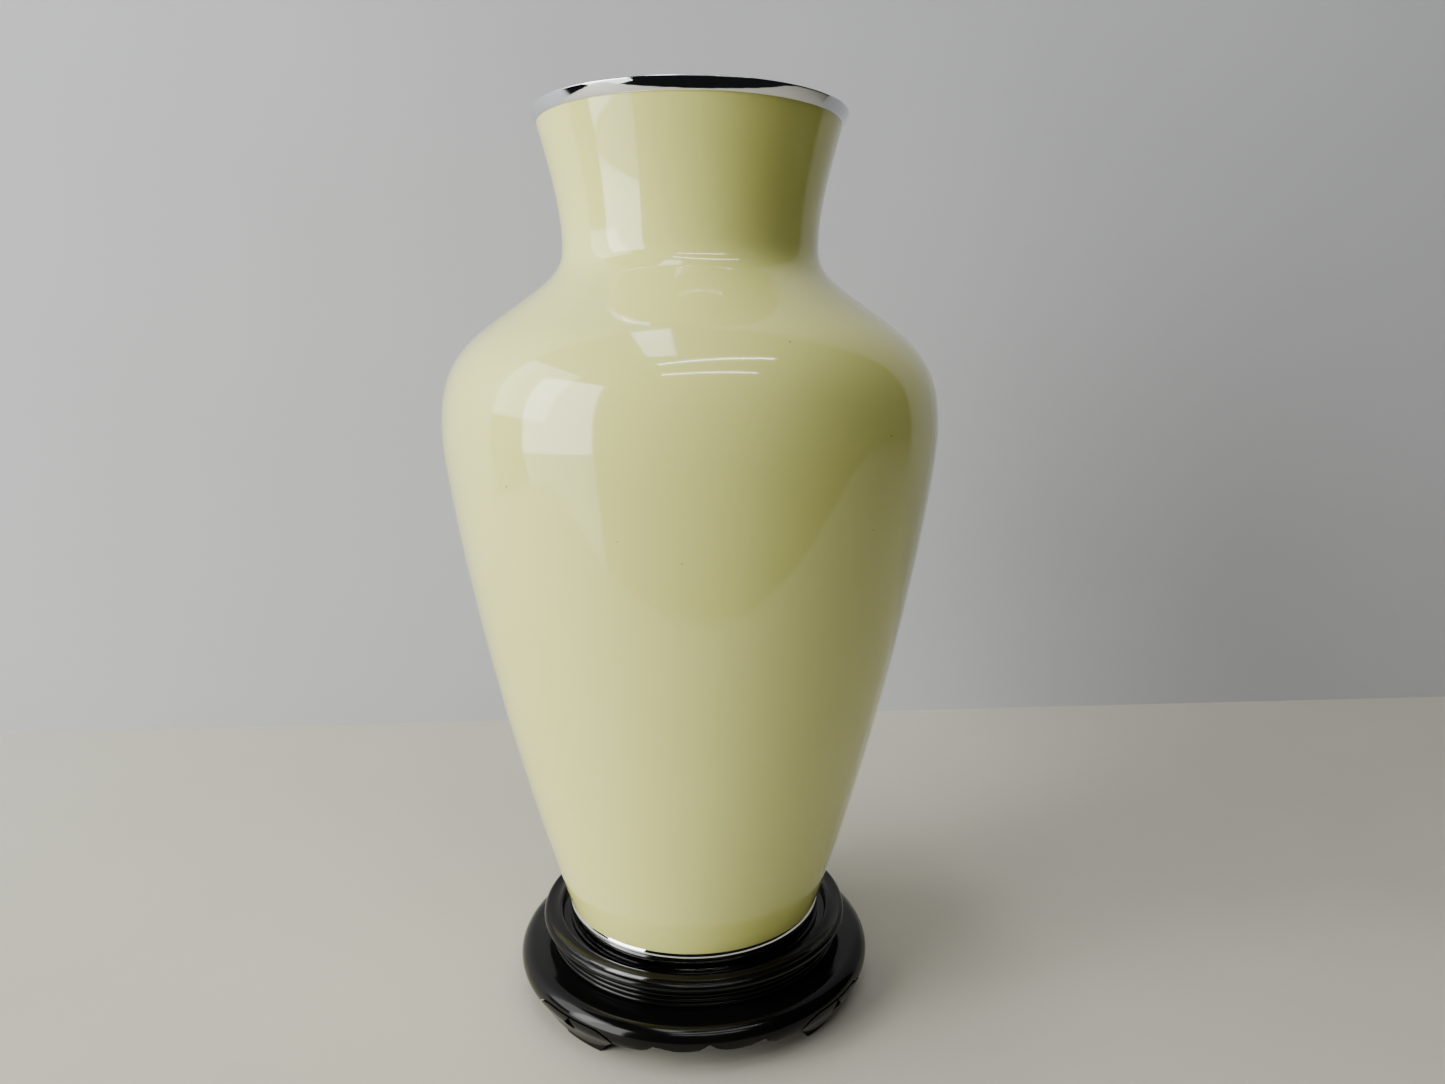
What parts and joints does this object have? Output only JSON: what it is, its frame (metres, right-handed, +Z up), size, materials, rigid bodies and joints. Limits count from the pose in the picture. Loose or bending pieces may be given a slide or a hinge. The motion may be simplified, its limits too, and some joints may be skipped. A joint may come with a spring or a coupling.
{
  "type": "enamelled vase on a lacquered stand",
  "caption": "High-shouldered round vase in plain pale enamel on metal, with plated rim band and foot ring, resting in a footed black lacquered stand.",
  "frame": {"origin": "centre of the stand's footprint, on the surface that it stands on", "axes": "+Z up along the vase's axis; -Y is the front, the middle of one apron between two feet"},
  "size_m": [0.146, 0.146, 0.2675],
  "materials": {
    "cream_enamel": "pale lemon-cream enamel, polished to a high gloss",
    "counter_enamel": "plain counter-enamel, fired and unpolished",
    "copper": "spun copper, covered by enamel on both sides",
    "silver_plate": "silver plate, polished bright",
    "black_lacquer": "turned and carved wood under black lacquer, polished"
  },
  "bodies": {
    "stand": {"stand_seat": "black_lacquer", "stand_waist": "black_lacquer", "apron_1": "black_lacquer", "apron_2": "black_lacquer", "apron_3": "black_lacquer", "apron_4": "black_lacquer", "foot_1": "black_lacquer", "foot_2": "black_lacquer", "foot_3": "black_lacquer", "foot_4": "black_lacquer"},
    "vase": {"copper_body": "copper", "outer_enamel": "cream_enamel", "inner_enamel": "counter_enamel", "base_enamel": "counter_enamel", "rim_band": "silver_plate", "foot_ring": "silver_plate"}
  },
  "joints": [
    {"name": "vase_lift", "type": "slide", "parent": "stand", "child": "vase", "axis": [0, 0, 1], "range_m": [0, 0.06]}
  ]
}
